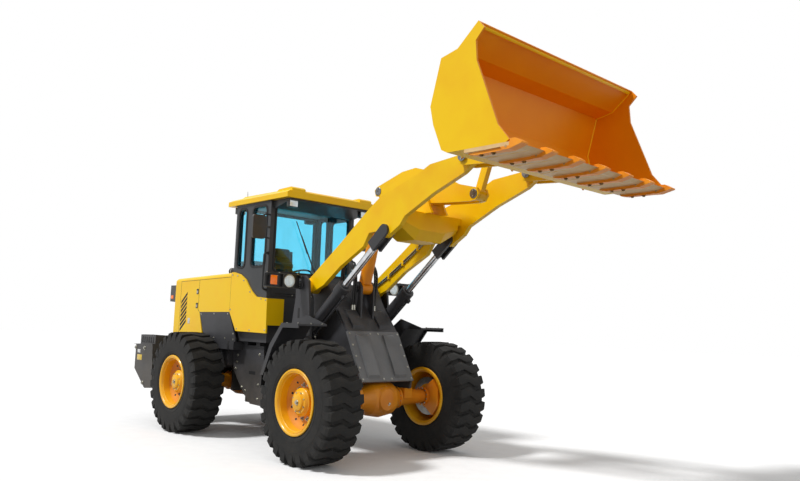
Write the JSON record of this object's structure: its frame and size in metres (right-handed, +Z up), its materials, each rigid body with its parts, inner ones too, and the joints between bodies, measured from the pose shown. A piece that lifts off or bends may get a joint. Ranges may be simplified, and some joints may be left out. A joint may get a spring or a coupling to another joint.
{
  "type": "wheel loader",
  "caption": "Articulated wheel loader with a raised toothed bucket on a Z-bar boom, a glazed cab, a rear engine hood and a counterweight.",
  "frame": {"origin": "centre of the bounding box's underside, on the ground between the wheels", "axes": "+X forwards to the bucket, +Y to the operator's left, +Z up; the axles lie along Y"},
  "size_m": [7.4, 2.5, 4.11],
  "materials": {
    "body_yellow": "satin",
    "frame_grey": "satin",
    "machined_steel": "brushed",
    "rod_chrome": "polished",
    "drive_paint": "satin",
    "rim_yellow": "satin",
    "tyre_rubber": "matt",
    "wear_steel": "worn",
    "engine_iron": "rough",
    "black_steel": "matt",
    "lamp_plastic": "gloss",
    "cover_grey": "satin",
    "seat_fabric": "matt",
    "cab_plastic": "matt",
    "cab_glass": "clear"
  },
  "bodies": {
    "rear_body": {"rear_frame": "frame_grey", "counterweight": "frame_grey", "engine": "engine_iron", "transmission": "engine_iron", "hood": "body_yellow", "rear_grille": "black_steel", "rear_lamps": "lamp_plastic", "side_panels": "frame_grey", "side_tanks": "frame_grey", "air_cleaner": "black_steel", "exhaust": "black_steel", "platform": "frame_grey", "side_fairings": "body_yellow", "cab_frame": "frame_grey", "cab_roof": "body_yellow", "seat": "seat_fabric", "console": "cab_plastic", "steering_wheel": "cab_plastic", "cab_windows": "cab_glass", "mirrors": "frame_grey", "rear_axle": "drive_paint", "rear_shaft": "drive_paint"},
    "front_body": {"front_frame": "frame_grey", "front_cover": "cover_grey", "front_fenders": "frame_grey", "headlamps": "lamp_plastic", "front_axle": "drive_paint", "front_shaft": "drive_paint"},
    "wheel_front_left": {"rim_front_left": "rim_yellow", "tyre_front_left": "tyre_rubber"},
    "wheel_front_right": {"rim_front_right": "rim_yellow", "tyre_front_right": "tyre_rubber"},
    "wheel_rear_left": {"rim_rear_left": "rim_yellow", "tyre_rear_left": "tyre_rubber"},
    "wheel_rear_right": {"rim_rear_right": "rim_yellow", "tyre_rear_right": "tyre_rubber"},
    "boom": {"boom": "body_yellow"},
    "bucket_pins": {"bucket_pins": "machined_steel"},
    "bucket": {"bucket": "body_yellow", "bucket_teeth": "wear_steel"},
    "crank_pin": {"crank_pin": "machined_steel"},
    "bellcrank": {"bellcrank": "body_yellow"},
    "link_pin": {"link_pin": "machined_steel"},
    "tilt_link": {"tilt_link": "body_yellow"},
    "lift_barrel_left": {"lift_barrel_left": "frame_grey"},
    "lift_barrel_right": {"lift_barrel_right": "frame_grey"},
    "lift_rod_left": {"lift_rod_left": "rod_chrome"},
    "lift_rod_right": {"lift_rod_right": "rod_chrome"},
    "tilt_barrel": {"tilt_barrel": "body_yellow"},
    "tilt_rod": {"tilt_rod": "rod_chrome"},
    "steer_barrel_left": {"steer_barrel_left": "frame_grey"},
    "steer_barrel_right": {"steer_barrel_right": "frame_grey"},
    "steer_rod_left": {"steer_rod_left": "rod_chrome"},
    "steer_rod_right": {"steer_rod_right": "rod_chrome"},
    "cab_door": {"cab_door": "frame_grey", "door_window": "cab_glass"}
  },
  "joints": [
    {"name": "articulation", "type": "hinge", "parent": "rear_body", "child": "front_body", "pos_m": [-0.76, 0, 0.77], "axis": [0, 0, 1], "range_deg": [-38, 38]},
    {"name": "wheel_front_left", "type": "hinge", "parent": "front_body", "child": "wheel_front_left", "pos_m": [0.665, 0.95, 0.665], "axis": [0, 1, 0], "continuous": true},
    {"name": "wheel_front_right", "type": "hinge", "parent": "front_body", "child": "wheel_front_right", "pos_m": [0.665, -0.95, 0.665], "axis": [0, 1, 0], "continuous": true},
    {"name": "wheel_rear_left", "type": "hinge", "parent": "rear_body", "child": "wheel_rear_left", "pos_m": [-2.185, 0.95, 0.665], "axis": [0, 1, 0], "continuous": true},
    {"name": "wheel_rear_right", "type": "hinge", "parent": "rear_body", "child": "wheel_rear_right", "pos_m": [-2.185, -0.95, 0.665], "axis": [0, 1, 0], "continuous": true},
    {"name": "boom_lift", "type": "hinge", "parent": "front_body", "child": "boom", "pos_m": [-0.05, 0, 1.95], "axis": [0, -1, 0], "range_deg": [-65.3, 14.4]},
    {"name": "bucket_level", "type": "hinge", "parent": "boom", "child": "bucket_pins", "pos_m": [2.48, 0, 3.16], "axis": [0, -1, 0], "range_deg": [-15.99, 66.89]},
    {"name": "bucket_tilt", "type": "hinge", "parent": "bucket_pins", "child": "bucket", "pos_m": [2.48, 0, 3.16], "axis": [0, 1, 0], "range_deg": [-45, 45]},
    {"name": "crank_level", "type": "hinge", "parent": "boom", "child": "crank_pin", "pos_m": [1.39, 0, 2.99], "axis": [0, -1, 0], "range_deg": [-24.98, 5.97]},
    {"name": "crank_turn", "type": "hinge", "parent": "crank_pin", "child": "bellcrank", "pos_m": [1.39, 0, 2.99], "axis": [0, -1, 0], "range_deg": [-7.8, 7.8]},
    {"name": "link_level", "type": "hinge", "parent": "bucket", "child": "link_pin", "pos_m": [2.38, 0, 3.49], "axis": [0, -1, 0], "range_deg": [-64.35, 15.39]},
    {"name": "link_turn", "type": "hinge", "parent": "link_pin", "child": "tilt_link", "pos_m": [2.38, 0, 3.49], "axis": [0, -1, 0], "range_deg": [-29.65, 29.65]},
    {"name": "tilt_cylinder_swing", "type": "hinge", "parent": "front_body", "child": "tilt_barrel", "pos_m": [0.36, 0, 1.95], "axis": [0, -1, 0], "range_deg": [-82.44, 19.71]},
    {"name": "tilt_rod_stroke", "type": "slide", "parent": "tilt_barrel", "child": "tilt_rod", "axis": [0.2479, 0, 0.9688], "range_m": [-0.0992, 0.0992]},
    {"name": "lift_cylinder_swing_left", "type": "hinge", "parent": "front_body", "child": "lift_barrel_left", "pos_m": [-0.153, 0.5, 1.3], "axis": [0, -1, 0], "range_deg": [-54.29, 12.98]},
    {"name": "lift_rod_stroke_left", "type": "slide", "parent": "lift_barrel_left", "child": "lift_rod_left", "axis": [0.7654, 0, 0.6435], "range_m": [-0.6487, 0.1551]},
    {"name": "lift_cylinder_swing_right", "type": "hinge", "parent": "front_body", "child": "lift_barrel_right", "pos_m": [-0.153, -0.5, 1.3], "axis": [0, -1, 0], "range_deg": [-54.29, 12.98]},
    {"name": "lift_rod_stroke_right", "type": "slide", "parent": "lift_barrel_right", "child": "lift_rod_right", "axis": [0.7654, 0, 0.6435], "range_m": [-0.6487, 0.1551]},
    {"name": "steer_cylinder_swing_left", "type": "hinge", "parent": "rear_body", "child": "steer_barrel_left", "pos_m": [-1.23, 0.24, 0.88], "axis": [0, 0, 1], "range_deg": [-11.74, 11.74]},
    {"name": "steer_rod_stroke_left", "type": "slide", "parent": "steer_barrel_left", "child": "steer_rod_left", "axis": [0.9983, -0.0583, 0], "range_m": [-0.1439, 0.1439]},
    {"name": "steer_cylinder_swing_right", "type": "hinge", "parent": "rear_body", "child": "steer_barrel_right", "pos_m": [-1.23, -0.24, 0.88], "axis": [0, 0, 1], "range_deg": [-11.74, 11.74]},
    {"name": "steer_rod_stroke_right", "type": "slide", "parent": "steer_barrel_right", "child": "steer_rod_right", "axis": [0.9983, 0.0583, 0], "range_m": [-0.1439, 0.1439]},
    {"name": "cab_door_swing", "type": "hinge", "parent": "rear_body", "child": "cab_door", "pos_m": [-1.26, 0.695, 2.26], "axis": [0, 0, 1], "range_deg": [0, 100]}
  ],
  "couplings": [
    {"joint": "bucket_level", "follows": "boom_lift", "ratio": -1},
    {"joint": "crank_level", "follows": "boom_lift", "ratio": 0.37349},
    {"joint": "crank_turn", "follows": "bucket_tilt", "ratio": 0.16671},
    {"joint": "link_level", "follows": "boom_lift", "ratio": 0.96196},
    {"joint": "link_turn", "follows": "bucket_tilt", "ratio": 0.63353},
    {"joint": "tilt_cylinder_swing", "follows": "boom_lift", "ratio": 1.2324},
    {"joint": "tilt_rod_stroke", "follows": "bucket_tilt", "m_per_rad": -0.12144},
    {"joint": "lift_cylinder_swing_left", "follows": "boom_lift", "ratio": 0.81151},
    {"joint": "lift_rod_stroke_left", "follows": "boom_lift", "m_per_rad": 0.55559},
    {"joint": "lift_cylinder_swing_right", "follows": "boom_lift", "ratio": 0.81151},
    {"joint": "lift_rod_stroke_right", "follows": "boom_lift", "m_per_rad": 0.55559},
    {"joint": "steer_cylinder_swing_left", "follows": "articulation", "ratio": 0.29713},
    {"joint": "steer_rod_stroke_left", "follows": "articulation", "m_per_rad": -0.20864},
    {"joint": "steer_cylinder_swing_right", "follows": "articulation", "ratio": 0.29713},
    {"joint": "steer_rod_stroke_right", "follows": "articulation", "m_per_rad": 0.20864}
  ]
}
